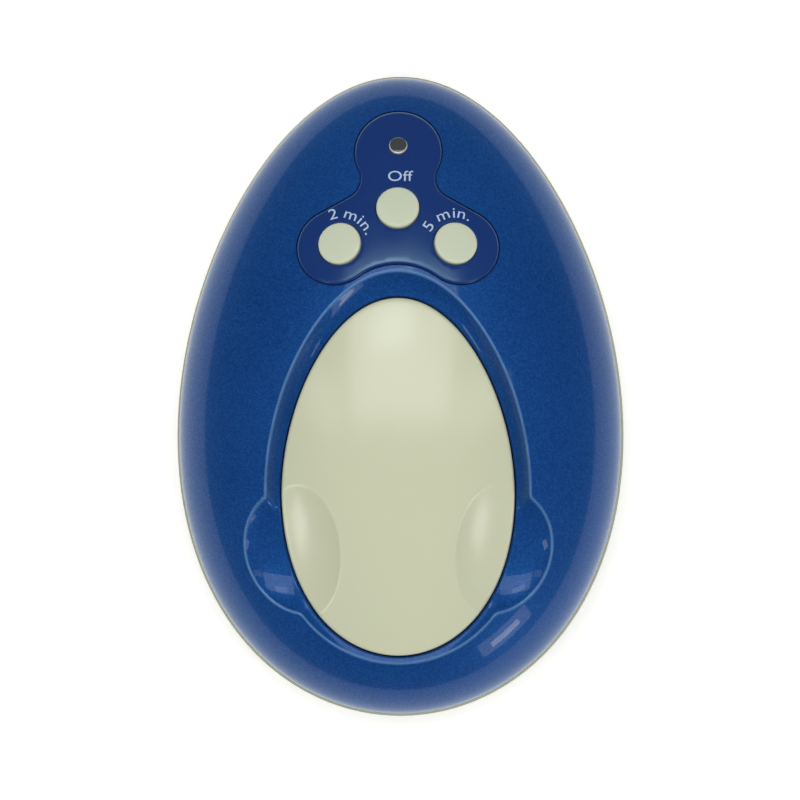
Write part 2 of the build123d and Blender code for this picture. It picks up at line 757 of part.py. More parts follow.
def make_ribbon_headers():
    under = keypad_board_top - board_thickness
    upper = off_plane * block(header_size, under - header_height, under, (0, ribbon_place))
    return group([upper, on_board((*header_size, 0, header_height), (0, ribbon_points()[-1].Y))])


def make_board_ribbon():
    """Flat ribbon from the keypad board's header down to the main board's."""
    path = FilletPolyline(*ribbon_points(), radius=ribbon_bend_radius)
    section = Plane(origin=path @ 0, x_dir=(1, 0, 0), z_dir=path % 0) * Rectangle(ribbon_width, ribbon_thickness)
    return sweep(section, path=path)


def make_power_jack():
    body = Pos(0, jack_front - jack_size[1] / 2, jack_height) * Box(*jack_size)
    out = Pos(0, jack_front, jack_height) * Rot(-90, 0, 0)
    body += out * peg(jack_nose_radius, -1, housing_rear - jack_front)
    return body - out * peg(jack_bore_radius, housing_rear - jack_front - jack_bore_depth, far)


def make_power_jack_pin():
    out = Pos(0, jack_front, jack_height) * Rot(-90, 0, 0)
    face = housing_rear - jack_front
    pin = peg(jack_pin_radius, face - jack_bore_depth, face - jack_pin_inset)
    return out * fillet(pin.edges().sort_by(Axis.Z)[-1], jack_pin_point)


def make_power_jack_leads():
    """Two wires from the back of the jack down to the main board."""
    rear = jack_front - jack_size[1]
    high = main_board_low + board_thickness
    wires = []
    for side in (-1, 1):
        x = side * jack_lead_offset
        points = [(x, rear, jack_lead_height), (x, rear - jack_lead_run, jack_lead_height),
                  (x, rear - jack_lead_run, high)]
        wires.append(lead(points, jack_lead_bend))
    return group(wires)


# ---- Feet and case screws

def make_rubber_feet():
    foot = peg(foot_radius, 0, bottom_height + foot_sunk)
    foot = fillet(foot.edges().sort_by(Axis.Z)[0], foot_edge_radius)
    return group(Pos(x, y, 0) * foot for x, y in foot_places)


def make_case_screws():
    return group(screw(case_screw, case_screw_seat, place) for place in case_screw_places)


nodes = {
    "top_shell": make_top_shell,
    "base_shell": make_base_shell,
    "lid": make_lid,
    "keypad_panel": make_keypad_panel,
    "off_button": lambda: make_button(off_plane),
    "two_minute_button": lambda: make_button(left_plane),
    "five_minute_button": lambda: make_button(right_plane),
    "indicator_lens": make_indicator_lens,
    "indicator_led": make_indicator_led,
    "off_switch": lambda: make_switch(off_plane),
    "two_minute_switch": lambda: make_switch(left_plane),
    "five_minute_switch": lambda: make_switch(right_plane),
    "off_plunger": lambda: make_plunger(off_plane),
    "two_minute_plunger": lambda: make_plunger(left_plane),
    "five_minute_plunger": lambda: make_plunger(right_plane),
    "keypad_board": make_keypad_board,
    "keypad_board_screws": make_keypad_board_screws,
    "tank": make_tank,
    "tank_gasket": make_tank_gasket,
    "tank_clamp_ring": make_tank_clamp_ring,
    "clamp_ring_screws": make_clamp_ring_screws,
    "transducer": make_transducer,
    "transducer_leads": make_transducer_leads,
    "lens_carrier": make_lens_carrier,
    "left_cup_cap": lambda: make_cup_cap(1),
    "right_cup_cap": lambda: make_cup_cap(-1),
    "main_board": make_main_board,
    "main_board_screws": make_main_board_screws,
    "driver_transformer": make_driver_transformer,
    "filter_capacitor": make_filter_capacitor,
    "power_transistor": make_power_transistor,
    "heat_sink": make_heat_sink,
    "board_ribbon": make_board_ribbon,
    "ribbon_headers": make_ribbon_headers,
    "power_jack": make_power_jack,
    "power_jack_pin": make_power_jack_pin,
    "power_jack_leads": make_power_jack_leads,
    "rubber_feet": make_rubber_feet,
    "case_screws": make_case_screws,
}


def main():
    os.makedirs("parts", exist_ok=True)
    for name, make in nodes.items():
        export_step(make(), f"parts/{name}.step")
        print("wrote", name)


if __name__ == "__main__":
    main()
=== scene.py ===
# %% [markdown]
# # A table-top cleaner for contact lenses
# The object is an egg-shaped case of pearl-blue plastic on a pale base, with a cream lid that lifts off, a
# navy keypad with three lobes, and a steel tank and lens carrier under the lid. The CAD model gives every
# piece its place, so this lesson only adds what the eye sees: smooth skins with rounded edges for the big
# shells, turned buttons, printed legends, and a finish for each material.

# %% Load the frame
import json
from math import cos, pi, radians, sin, sqrt

import bmesh
import bpy
import numpy as np
from mathutils import Matrix, Vector, geometry

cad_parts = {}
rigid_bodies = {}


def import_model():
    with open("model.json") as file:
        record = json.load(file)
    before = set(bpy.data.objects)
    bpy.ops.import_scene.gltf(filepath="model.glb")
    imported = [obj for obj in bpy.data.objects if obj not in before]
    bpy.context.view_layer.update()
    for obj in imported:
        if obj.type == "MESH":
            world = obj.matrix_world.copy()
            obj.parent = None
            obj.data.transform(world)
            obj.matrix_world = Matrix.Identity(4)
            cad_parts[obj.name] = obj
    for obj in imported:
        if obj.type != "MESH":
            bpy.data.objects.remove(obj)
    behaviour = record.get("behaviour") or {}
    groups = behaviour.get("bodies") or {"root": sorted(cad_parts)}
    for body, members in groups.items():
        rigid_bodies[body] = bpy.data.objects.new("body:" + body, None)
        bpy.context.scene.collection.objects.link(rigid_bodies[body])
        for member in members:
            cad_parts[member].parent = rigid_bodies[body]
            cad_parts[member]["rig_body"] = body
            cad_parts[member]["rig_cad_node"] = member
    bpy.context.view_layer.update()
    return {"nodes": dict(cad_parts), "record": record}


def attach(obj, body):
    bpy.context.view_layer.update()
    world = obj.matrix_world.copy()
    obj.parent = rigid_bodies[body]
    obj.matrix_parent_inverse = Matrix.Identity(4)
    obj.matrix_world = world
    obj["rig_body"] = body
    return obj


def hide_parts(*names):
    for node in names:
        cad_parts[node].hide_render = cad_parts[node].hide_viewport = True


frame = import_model()
nodes = frame["nodes"]
mm = 0.001

# %% [markdown]
# ## The egg and the surfaces that it carries
# On the real case every outline is one egg: an ellipse whose width tapers towards the narrow end. It could
# be traced as a curve by hand, but a formula keeps the case, the lid and the dish parallel to each other,
# so a few lengths in millimetres describe all three.

# %% Outlines
case_length, case_half_width, case_taper = 150.0, 51.6, 0.13
lid_length, lid_half_width, lid_taper, lid_middle = 81.0, 26.3, 0.11, -20.3
tank_length, tank_half_width, tank_taper, tank_middle = 62.0, 20.5, 0.10, -20.0


def egg(turn, length, half_width, taper, middle, grow=0.0):
    """Points of an egg outline in mm: turn 0 is the narrow tip and pi the broad one."""
    across = (half_width + grow) * np.sin(turn) * (1 - taper * np.cos(turn))
    return across, middle + (length / 2 + grow) * np.cos(turn)


def case_outline(turn, grow=0.0):
    return egg(turn, case_length, case_half_width, case_taper, 0.0, grow)


def lid_outline(turn, grow=0.0):
    return egg(turn, lid_length, lid_half_width, lid_taper, lid_middle, grow)


def tank_outline(turn, grow=0.0):
    return egg(turn, tank_length, tank_half_width, tank_taper, tank_middle, grow)


print("case", case_length, "by", 2 * case_half_width, "mm, lid", lid_length, "by", 2 * lid_half_width, "mm")

# %% [markdown]
# The dome is that outline, shrunk towards a point as it rises along an elliptic arc. To find the height
# over a point, the shrink factor whose outline passes through it is found by halving an interval, for all
# points at once.

# %% Height of the dome
parting_height, dome_rise, crown_y = 15.5, 29.0, -14.0
halvings, least_shrink = 40, 0.01


def dome_height(x, y, grow=0.0):
    """Height in mm of the dome, or of one offset by grow, over points x, y."""
    half_length = case_length / 2 + grow
    low, high = np.full(np.shape(x), least_shrink), np.ones(np.shape(x))
    for _ in range(halvings):
        shrink = (low + high) / 2
        along = (crown_y + (y - crown_y) / shrink) / half_length
        half = (case_half_width + grow) * np.sqrt(np.clip(1 - along ** 2, 0, None)) * (1 - case_taper * along)
        wide = half * shrink > np.abs(x)
        high = np.where(wide, shrink, high)
        low = np.where(wide, low, shrink)
    return parting_height + (dome_rise + grow) * np.sqrt(np.clip(1 - high ** 2, 0, None))


print("the dome would crown at", parting_height + dome_rise, "mm, if the dish were not cut into it")

# %% [markdown]
# The dish round the lid follows the lid's outline outwards: flat at first, then curling up to the crest
# where it meets the dome. The same halving finds how far outside the lid's outline a point lies. The dish
# is narrower at the lid's sides than at its ends, so distances count for more there.

# %% Height of the dish
dish_level, dish_slope = 36.3, np.tan(radians(3.95))
dish_profile = [(-1.5, -0.6), (1.4, -0.45), (3.5, 0.35), (6.0, 1.95), (12.0, 5.8), (20.0, 11.0)]
dish_narrowing = 0.5
least_grow, most_grow = -12.0, 70.0


def lid_distance(x, y):
    """How far in mm a point lies outside the lid's outline, stretched at the dish's narrow sides."""
    low, high = np.full(np.shape(x), least_grow), np.full(np.shape(x), most_grow)
    for _ in range(halvings):
        grow = (low + high) / 2
        along = (y - lid_middle) / (lid_length / 2 + grow)
        half = (lid_half_width + dish_narrowing * grow) * np.sqrt(np.clip(1 - along ** 2, 0, None))
        half *= 1 - lid_taper * along
        inside = half > np.abs(x)
        high = np.where(inside, grow, high)
        low = np.where(inside, low, grow)
    return high


def smooth_steps(value, knots):
    """Values along a smooth curve through knots of (place, height), like a bent spline."""
    places, heights = np.array(knots).T
    slopes = np.gradient(heights, places)
    index = np.clip(np.searchsorted(places, value) - 1, 0, len(places) - 2)
    gap = places[index + 1] - places[index]
    t = np.clip((value - places[index]) / gap, 0, None)
    rise = heights[index + 1] - heights[index]
    start, end = slopes[index] * gap, slopes[index + 1] * gap
    return heights[index] + t * (start + t * (3 * rise - 2 * start - end + t * (start + end - 2 * rise)))


def dish_height(x, y):
    return dish_level + dish_slope * (y - lid_middle) + smooth_steps(lid_distance(x, y), dish_profile)


print("the dish rises from", dish_profile[0], "to", dish_profile[-1], "mm")

# %% [markdown]
# The finger scoops are shallow ellipsoids pressed into the shell and, more lightly, into the lid. Where two
# surfaces meet, taking the lower one would leave a knife edge. Real mouldings have a small radius there,
# and a smooth minimum gives it: it blends the two heights over a chosen width.

# %% Scoops and soft edges
scoop_x, scoop_y, scoop_fall = 22.1, -37.3, 1.0
shell_scoop = dict(half_across=14.3, half_along=14.7, depth=6.3, ball=9.0)
lid_scoop = dict(half_across=8.3, half_along=13.8, depth=2.0, ball=8.0)
lid_crown_y, lid_crown_z, lid_radii = -9.5, 42.2, (66.0, 100.0, 60.0)
least_inside, far_above, nudge = 0.01, 1e3, 0.01


def lid_height(x, y):
    """Height in mm of the lid's domed top."""
    inside = 1 - (x / lid_radii[0]) ** 2 - ((y - lid_crown_y) / lid_radii[1]) ** 2
    return lid_crown_z - lid_radii[2] + lid_radii[2] * np.sqrt(np.clip(inside, least_inside, None))


def tangent_frame(surface, x, y):
    """Origin, x axis, y axis and normal of the plane that touches a height surface, in mm."""
    slope_x = float(surface(x + nudge, y) - surface(x - nudge, y)) / (2 * nudge)
    slope_y = float(surface(x, y + nudge) - surface(x, y - nudge)) / (2 * nudge)
    normal = Vector((-slope_x, -slope_y, 1)).normalized()
    x_axis = Vector((1, 0, slope_x)).normalized()
    return Vector((x, y, float(surface(x, y)))), x_axis, normal.cross(x_axis), normal


def scoop_floor(surface, x, y, half_across, half_along, depth, ball):
    """Height of a scoop's floor over points x, y, or a large height outside it."""
    origin, x_axis, y_axis, normal = tangent_frame(surface, scoop_x, scoop_y)
    rise = ball - depth
    spread = sqrt(1 - ((rise + scoop_fall) / ball) ** 2)
    centre = origin + normal * rise
    radii = np.array((half_across / spread, half_along / spread, ball))
    turn = np.array((x_axis, y_axis, normal)) / radii[:, None]
    start = np.stack((np.abs(x) - centre.x, y - centre.y, np.zeros(np.shape(x))), axis=-1) @ turn.T
    up = turn @ np.array((0, 0, 1))
    a, b, c = up @ up, start @ up, (start ** 2).sum(axis=-1) - 1
    reach = b * b - a * c
    return np.where(reach > 0, centre.z + (-b - np.sqrt(np.clip(reach, 0, None))) / a, far_above)


def soft_min(first, second, width):
    """Lower of two heights, blended where they are within width of each other."""
    near = np.clip(0.5 + 0.5 * (second - first) / width, 0, 1)
    return second + (first - second) * near - width * near * (1 - near)


print("scoops", 2 * shell_scoop["half_across"], "by", 2 * shell_scoop["half_along"],
      "mm at", (scoop_x, scoop_y))

# %% [markdown]
# ## Tools for the skins
# A skin is woven from rings: every ring has the same number of points round the egg, and neighbours are
# joined by quads. A grid is added as a primitive, each of its points is moved to its ring in code, and the
# two open edges of the grid are merged into a closed band. This gives an even mesh that reflections flow
# over without a ripple, which a mesh cut by booleans rarely has.

# %% Helpers for meshes
def deselect_all():
    bpy.ops.object.select_all(action="DESELECT")


def choose(piece):
    deselect_all()
    piece.select_set(True)
    bpy.context.view_layer.objects.active = piece


def close_doubles(piece, apart=0.01):
    """Merge points less than so many mm apart and turn all faces outwards."""
    choose(piece)
    bpy.ops.object.mode_set(mode="EDIT")
    bpy.ops.mesh.select_all(action="SELECT")
    bpy.ops.mesh.remove_doubles(threshold=apart * mm)
    bpy.ops.mesh.normals_make_consistent(inside=False)
    bpy.ops.object.mode_set(mode="OBJECT")


def smooth_by_angle(piece, degrees):
    choose(piece)
    bpy.ops.object.shade_smooth_by_angle(angle=radians(degrees))


def band(name, rings):
    """Closed band of quads through rings of points in mm, the last joined to the first if they meet."""
    around, count = len(rings[0]), len(rings)
    deselect_all()
    bpy.ops.mesh.primitive_grid_add(x_subdivisions=around, y_subdivisions=count - 1, size=1)
    piece = bpy.context.object
    piece.name = piece.data.name = name
    closed = [np.vstack((ring, ring[:1])) for ring in rings]
    places = np.concatenate(closed) * mm
    piece.data.vertices.foreach_set("co", places.astype(np.float32).ravel())
    piece.data.update()
    close_doubles(piece)
    return piece


def corners_of(piece):
    """Places of a mesh's points, one row each."""
    places = np.empty(len(piece.data.vertices) * 3)
    piece.data.vertices.foreach_get("co", places)
    return places.reshape(-1, 3)


def ring(x, y, z):
    return np.stack((x, y, np.broadcast_to(z, np.shape(x))), axis=-1)


def dress(piece, body, slot, material, *stands_for):
    """Give a finished piece its body and material, and hide the CAD nodes it stands for; the slot is not
    used.
    """
    piece.data.materials.clear()
    piece.data.materials.append(material)
    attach(piece, body)
    if stands_for:
        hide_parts(*stands_for)
    print(piece.name, "has", len(piece.data.polygons), "faces")


def smooth_copy(node, degrees=30):
    """Merged copy of a CAD node's loose triangles, shaded smooth, to be finished further."""
    piece = nodes[node].copy()
    piece.data = nodes[node].data.copy()
    piece.parent = None
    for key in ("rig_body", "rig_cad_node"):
        del piece[key]
    bpy.context.scene.collection.objects.link(piece)
    piece.name = piece.data.name = node + "_shown"
    choose(piece)
    bpy.ops.object.mode_set(mode="EDIT")
    bpy.ops.mesh.select_all(action="SELECT")
    bpy.ops.mesh.remove_doubles(threshold=0.002 * mm)
    bpy.ops.object.mode_set(mode="OBJECT")
    smooth_by_angle(piece, degrees)
    return piece


# %% [markdown]
# ## Finishes
# Each finish is a small node tree on object coordinates, so that a pattern stays on its piece when the
# piece moves. Colour varies a little over the surface, roughness varies at the scale of handling marks, and
# a fine bump stands for the texture of the mould. Values that are the same all over are set on the shader's
# sockets.

# %% Material helpers
cloud_mm, mark_mm, coat_blur = 22.0, 6.0, 0.06


def new_material(name):
    material = bpy.data.materials.new(name)
    material.use_nodes = True
    tree = material.node_tree
    shader = tree.nodes["Principled BSDF"]
    places = tree.nodes.new("ShaderNodeTexCoord").outputs["Object"]
    return material, tree, shader, places


def noise(tree, places, size_mm, detail=2.0):
    """Noise whose features are about size_mm across."""
    node = tree.nodes.new("ShaderNodeTexNoise")
    node.inputs["Scale"].default_value = 1.0 / (size_mm * mm)
    node.inputs["Detail"].default_value = detail
    tree.links.new(places, node.inputs["Vector"])
    return node.outputs["Fac"]


def spread(tree, value, low, high, start=0.3, end=0.7):
    """A noise value mapped from start..end to low..high."""
    node = tree.nodes.new("ShaderNodeMapRange")
    node.inputs["From Min"].default_value = start
    node.inputs["From Max"].default_value = end
    node.inputs["To Min"].default_value = low
    node.inputs["To Max"].default_value = high
    tree.links.new(value, node.inputs["Value"])
    return node.outputs["Result"]


def blend_colours(tree, value, first, second):
    node = tree.nodes.new("ShaderNodeMix")
    node.data_type = "RGBA"
    node.inputs["A"].default_value = (*first, 1)
    node.inputs["B"].default_value = (*second, 1)
    tree.links.new(value, node.inputs["Factor"])
    return node.outputs["Result"]


def bump(tree, shader, value, height_mm, strength=1.0):
    node = tree.nodes.new("ShaderNodeBump")
    node.inputs["Distance"].default_value = height_mm * mm
    node.inputs["Strength"].default_value = strength
    tree.links.new(value, node.inputs["Height"])
    tree.links.new(node.outputs["Normal"], shader.inputs["Normal"])


def moulded(name, colour, roughness, grain_mm=0.5, grain_height=0.004, shade=0.92, coat=0.0, metallic=0.0,
            specular=0.5, sheen_colour=(1.0, 1.0, 1.0)):
    """Plain moulded or painted surface: colour with faint clouds, uneven sheen, fine mould grain."""
    material, tree, shader, places = new_material(name)
    clouds = spread(tree, noise(tree, places, cloud_mm, 3.0), 0.0, 1.0)
    darker = [c * shade for c in colour]
    tree.links.new(blend_colours(tree, clouds, darker, colour), shader.inputs["Base Color"])
    marks = spread(tree, noise(tree, places, mark_mm, 4.0), roughness * 0.85, roughness * 1.2)
    tree.links.new(marks, shader.inputs["Roughness"])
    bump(tree, shader, noise(tree, places, grain_mm), grain_height)
    shader.inputs["Metallic"].default_value = metallic
    shader.inputs["Specular IOR Level"].default_value = specular
    shader.inputs["Specular Tint"].default_value = (*sheen_colour, 1)
    shader.inputs["Coat Weight"].default_value = coat
    shader.inputs["Coat Roughness"].default_value = coat_blur
    return material


# %% [markdown]
# The blue of the case is a pearl lacquer: a blue base with mica flakes a few tenths of a millimetre apart
# under a clear coat, and a sheen that leans to cyan. Flakes are Voronoi cells, each with its own shade and
# a slight tilt from a bump, so the paint glitters finely where the light falls on it and stays deep
# elsewhere. The shell also carries a number, its "crest", that paints a pale highlight into the colour along
# the sharp crests, where a thin line of light would catch.

# %% Pearl-blue lacquer
flake_mm, lacquer_cloud_mm, lacquer_roughness = 0.28, 35.0, (0.36, 0.48)
# The third colour is no colour of the lacquer but a painted highlight: the pale blue mixed in along the crest
# lines.
deep_blue, bright_blue, painted_highlight_blue = (0.0035, 0.044, 0.205), (0.009, 0.074, 0.290), (0.20, 0.40, 0.68)
cyan_sheen = (0.30, 0.85, 1.0)


def pearl_lacquer(name):
    material, tree, shader, places = new_material(name)
    flakes = tree.nodes.new("ShaderNodeTexVoronoi")
    flakes.inputs["Scale"].default_value = 1.0 / (flake_mm * mm)
    tree.links.new(places, flakes.inputs["Vector"])
    each = tree.nodes.new("ShaderNodeSeparateColor")
    tree.links.new(flakes.outputs["Color"], each.inputs["Color"])
    glitter = spread(tree, each.outputs["Red"], 0.0, 1.0, 0.35, 1.0)
    clouds = spread(tree, noise(tree, places, lacquer_cloud_mm), 0.0, 0.25)
    mixed = tree.nodes.new("ShaderNodeMath")
    mixed.operation = "ADD"
    mixed.use_clamp = True
    tree.links.new(glitter, mixed.inputs[0])
    tree.links.new(clouds, mixed.inputs[1])
    colour = blend_colours(tree, mixed.outputs[0], deep_blue, bright_blue)
    # The crest attribute mixes the pale painted highlight into the colour along the crest lines.
    crest = tree.nodes.new("ShaderNodeAttribute")
    crest.attribute_name = "crest"
    edge = tree.nodes.new("ShaderNodeMix")
    edge.data_type = "RGBA"
    edge.inputs["B"].default_value = (*painted_highlight_blue, 1)
    tree.links.new(colour, edge.inputs["A"])
    tree.links.new(crest.outputs["Fac"], edge.inputs["Factor"])
    tree.links.new(edge.outputs["Result"], shader.inputs["Base Color"])
    tree.links.new(spread(tree, each.outputs["Green"], *lacquer_roughness, 0.0, 1.0),
                   shader.inputs["Roughness"])
    bump(tree, shader, each.outputs["Blue"], 0.001, 0.25)
    shader.inputs["Metallic"].default_value = 0.25
    shader.inputs["Specular IOR Level"].default_value = 0.25
    shader.inputs["Specular Tint"].default_value = (*cyan_sheen, 1)
    shader.inputs["Coat Weight"].default_value = 0.8
    shader.inputs["Coat IOR"].default_value = 1.3
    shader.inputs["Coat Roughness"].default_value = 0.04
    return material


blue_pearl = pearl_lacquer("blue_pearl")
cream = moulded("cream_plastic", (0.590, 0.610, 0.428), 0.17, grain_mm=0.8, grain_height=0.0006, shade=0.985)
button_cream = moulded("button_cream", (0.575, 0.625, 0.470), 0.34, shade=0.97)
navy = moulded("keypad_navy", (0.009, 0.035, 0.168), 0.16, grain_mm=1.5, grain_height=0.0003, shade=0.93,
               specular=0.6, sheen_colour=(0.6, 0.95, 1.0))
print("finishes of the outside:",
      ", ".join(finish.name for finish in (blue_pearl, cream, button_cream, navy)))

# %% [markdown]
# Metals are brushed: a noise stretched along one direction makes the fine parallel lines, both in the bump
# and in the sheen. Ceramic, rubber and board finishes come from the moulded recipe with their own colour
# and grain.

# %% Finishes for the inner pieces
brush_line_mm, brush_shade = 2.0, 0.88


def brushed(name, colour, roughness, stretch=(1.0, 12.0, 12.0)):
    material, tree, shader, places = new_material(name)
    along = tree.nodes.new("ShaderNodeMapping")
    along.inputs["Scale"].default_value = stretch
    tree.links.new(places, along.inputs["Vector"])
    lines = noise(tree, along.outputs["Vector"], brush_line_mm, 3.0)
    darker = [c * brush_shade for c in colour]
    tree.links.new(blend_colours(tree, lines, darker, colour), shader.inputs["Base Color"])
    tree.links.new(spread(tree, lines, roughness * 0.8, roughness * 1.3), shader.inputs["Roughness"])
    bump(tree, shader, lines, 0.002, 0.6)
    shader.inputs["Metallic"].default_value = 1.0
    return material


finishes = {
    "blue_pearl": blue_pearl,
    "cream_plastic": cream,
    "button_cream": button_cream,
    "keypad_navy": navy,
    "smoked_window": moulded("smoked_window", (0.055, 0.062, 0.066), 0.14, shade=0.8, coat=0.6),
    # The pale grey of the window bevel is a painted highlight: the crescent of light on the window's front
    # rim.
    "window_glint_bevel": moulded("window_glint_bevel", (0.46, 0.48, 0.46), 0.12, shade=0.9, coat=0.8),
    "led_epoxy": moulded("led_epoxy", (0.10, 0.50, 0.12), 0.15, coat=0.5),
    "black_plastic": moulded("black_plastic", (0.020, 0.020, 0.022), 0.5, grain_mm=0.4, grain_height=0.01),
    "board_green": moulded("board_green", (0.020, 0.160, 0.060), 0.35, grain_mm=1.0, grain_height=0.01),
    "screw_steel": brushed("screw_steel", (0.56, 0.56, 0.55), 0.30),
    "tank_steel": brushed("tank_steel", (0.62, 0.62, 0.61), 0.22, (8.0, 8.0, 1.0)),
    "silicone_rubber": moulded("silicone_rubber", (0.45, 0.45, 0.44), 0.6),
    "foot_rubber": moulded("foot_rubber", (0.030, 0.030, 0.032), 0.75, grain_mm=0.3, grain_height=0.02),
    "piezo_ceramic": moulded("piezo_ceramic", (0.55, 0.52, 0.45), 0.4, metallic=0.6),
    "lead_insulation": moulded("lead_insulation", (0.35, 0.02, 0.02), 0.4),
    "carrier_white": moulded("carrier_white", (0.75, 0.76, 0.76), 0.32, shade=0.97),
    "ferrite_core": moulded("ferrite_core", (0.06, 0.06, 0.065), 0.6, grain_mm=0.6, grain_height=0.02),
    "can_aluminium": brushed("can_aluminium", (0.70, 0.70, 0.71), 0.28, (10.0, 10.0, 1.0)),
    "ribbon_grey": moulded("ribbon_grey", (0.40, 0.41, 0.43), 0.45),
    "pin_brass": brushed("pin_brass", (0.70, 0.52, 0.20), 0.25),
}
slot_of = {part["node"]: part["material_slot"] for part in frame["record"]["subparts"]}
print("finishes:", ", ".join(finishes))

# %% [markdown]
# ## The upper shell
# It is one moulding: deck, well, dish, dome and rim. Its skin is a closed band of rings that starts at the
# hole for the tank, crosses the deck, climbs the wall of the well, runs over dish and dome to the rim, and
# comes back underneath, so the mesh has real walls. Rings lie close together where the shape bends most.

# %% Skin of the upper shell
deck_level, deck_thickness, lid_gap, deck_lip = 30.0, 2.0, 0.35, 0.5
wall, seam = 2.4, 0.4
crest_width, scoop_blend = 0.2, 1.1
well_edge_radius = 0.5
near_reach, near_step, outer_rings = 13.0, 0.2, 70
inner_start, least_wall, well_wall = 3.0, 2.0, 2.2
points_round = 560
turns = np.arange(points_round) * 2 * pi / points_round


def hollow_height(x, y):
    """Height in mm of the dish and the scoops, whichever is lower."""
    return soft_min(dish_height(x, y), scoop_floor(dome_height, x, y, **shell_scoop), scoop_blend)


def shell_height(x, y):
    return soft_min(dome_height(x, y), hollow_height(x, y), crest_width)


def between(inner, outer, share):
    """Points between an inner outline (share 0) and an outer one (share 1)."""
    return inner[0] + (outer[0] - inner[0]) * share, inner[1] + (outer[1] - inner[1]) * share


def shell_rings():
    mouth, well = tank_outline(turns, -deck_lip), lid_outline(turns, lid_gap)
    rings = [ring(*between(mouth, well, share), deck_level) for share in np.linspace(0, 1, 5)]
    edge = shell_height(*lid_outline(turns, lid_gap + well_edge_radius))
    for share in np.linspace(0.15, 1, 6):
        rings.append(ring(*well, deck_level + (edge - well_edge_radius - deck_level) * share))
    for angle in np.radians((25, 50, 75)):
        out, drop = well_edge_radius * (1 - cos(angle)), well_edge_radius * (1 - sin(angle))
        rings.append(ring(*lid_outline(turns, lid_gap + out), edge - drop))
    near = [lid_outline(turns, grow) for grow in np.arange(lid_gap + well_edge_radius, near_reach, near_step)]
    rings += [ring(*place, shell_height(*place)) for place in near]
    rim, inner_rim = case_outline(turns), case_outline(turns, -wall)
    for angle in np.radians(np.linspace(2, 88, outer_rings)):
        x, y = between(near[-1], rim, sin(angle))
        rings.append(ring(x, y, np.maximum(shell_height(x, y), parting_height + seam)))
    rings.append(ring(*rim, parting_height + seam))
    rings.append(ring(*inner_rim, parting_height + seam))
    for share in np.cos(np.radians(np.linspace(6, 84, 14))):
        x, y = between(lid_outline(turns, inner_start), inner_rim, share)
        inner = np.minimum(dome_height(x, y, -wall), shell_height(x, y) - least_wall)
        rings.append(ring(x, y, inner))
    rings.append(ring(*lid_outline(turns, well_wall), deck_level - deck_thickness))
    rings.append(ring(*mouth, deck_level - deck_thickness))
    rings.append(ring(*mouth, deck_level))
    return rings


upper_shell = band("upper_shell", shell_rings())
print("upper shell woven with", len(upper_shell.data.vertices), "points")

# %% [markdown]
# The keypad sits in a shallow pocket. Its outline is three lobes joined by hollow arcs, all tangent to each
# other, which could be drawn as a curve; worked out from the lobes' places it can also be offset by any
# distance.

# %% Outline of the keypad
keypad_gap, keypad_proud, keypad_sunk = 0.3, 0.45, 0.9
top_lobe, side_lobe = ((0.0, 54.6), 10.0), ((14.2, 31.9), 8.8)
lobe_slope, waist_radius = radians(28.5), 5.0
bay_radius, bay_crest = 15.4, 27.7


def arc(centre, radius, start, end, count):
    """Points along an arc, both ends included, going the short way round."""
    turn = (end - start + pi) % (2 * pi) - pi
    angles = start + turn * np.linspace(0, 1, count)
    return [(centre[0] + radius * cos(a), centre[1] + radius * sin(a)) for a in angles]


def heading(centre, point):
    return np.arctan2(point[1] - centre[1], point[0] - centre[0])


def keypad_outline(grow=0.0):
    """Points of the three-lobed outline in mm, as tangent arcs, anticlockwise."""
    lobe, lobe_radius = Vector(side_lobe[0]), side_lobe[1] + grow
    top, top_radius = Vector(top_lobe[0]), top_lobe[1] + grow
    waist, bay = waist_radius - grow, Vector((0, bay_crest - bay_radius))
    outward = Vector((sin(lobe_slope), cos(lobe_slope)))
    along = Vector((-outward.y, outward.x))
    touch = lobe + outward * lobe_radius
    start = touch + outward * waist - top
    half = start.dot(along)
    reach = -half - sqrt(half ** 2 - start.dot(start) + (top_radius + waist) ** 2)
    waist_middle = top + start + along * reach
    neck = top + (waist_middle - top).normalized() * top_radius
    shoulder = waist_middle - outward * waist
    foot = lobe + (bay - lobe).normalized() * lobe_radius
    front = arc(bay, bay_radius - grow, pi / 2, heading(bay, foot), 24)
    low = heading(lobe, foot)
    round_lobe = arc(lobe, lobe_radius, low, 0, 30) + arc(lobe, lobe_radius, 0, heading(lobe, touch), 16)[1:]
    hollow = arc(waist_middle, waist, heading(waist_middle, shoulder), heading(waist_middle, neck), 16)
    crown = arc(top, top_radius, heading(top, neck), pi / 2, 24)
    right = front + round_lobe[1:] + hollow + crown[1:]
    left = [(-x, y) for x, y in reversed(right[1:-1])]
    return np.array(right + left)


print("keypad outline of", len(keypad_outline()), "points")

# %% [markdown]
# The pocket's floor follows the dome. The cutter starts as a grid whose points are moved to the dome's
# height less the depth of the pocket; extruded upwards it becomes a block with a curved underside. Cut to
# the keypad's outline it is exactly the pocket, and a boolean takes it out of the shell.

# %% Pocket for the keypad
block_cells, block_size, block_middle, block_top = 60, (52.0, 48.0), 43.5, 60.0
prism_low, prism_high = 20.0, 55.0


def prism(name, outline, low, high):
    """Closed upright prism over an outline in mm: a filled ring of edges, extruded."""
    mesh = bpy.data.meshes.new(name)
    count = len(outline)
    mesh.from_pydata([(x * mm, y * mm, low * mm) for x, y in outline],
                     [(i, (i + 1) % count) for i in range(count)], [])
    piece = bpy.data.objects.new(name, mesh)
    bpy.context.scene.collection.objects.link(piece)
    choose(piece)
    bpy.ops.object.mode_set(mode="EDIT")
    bpy.ops.mesh.select_all(action="SELECT")
    bpy.ops.mesh.edge_face_add()
    bpy.ops.mesh.extrude_region_move(TRANSFORM_OT_translate={"value": (0, 0, (high - low) * mm)})
    bpy.ops.mesh.select_all(action="SELECT")
    bpy.ops.mesh.normals_make_consistent(inside=False)
    bpy.ops.object.mode_set(mode="OBJECT")
    return piece


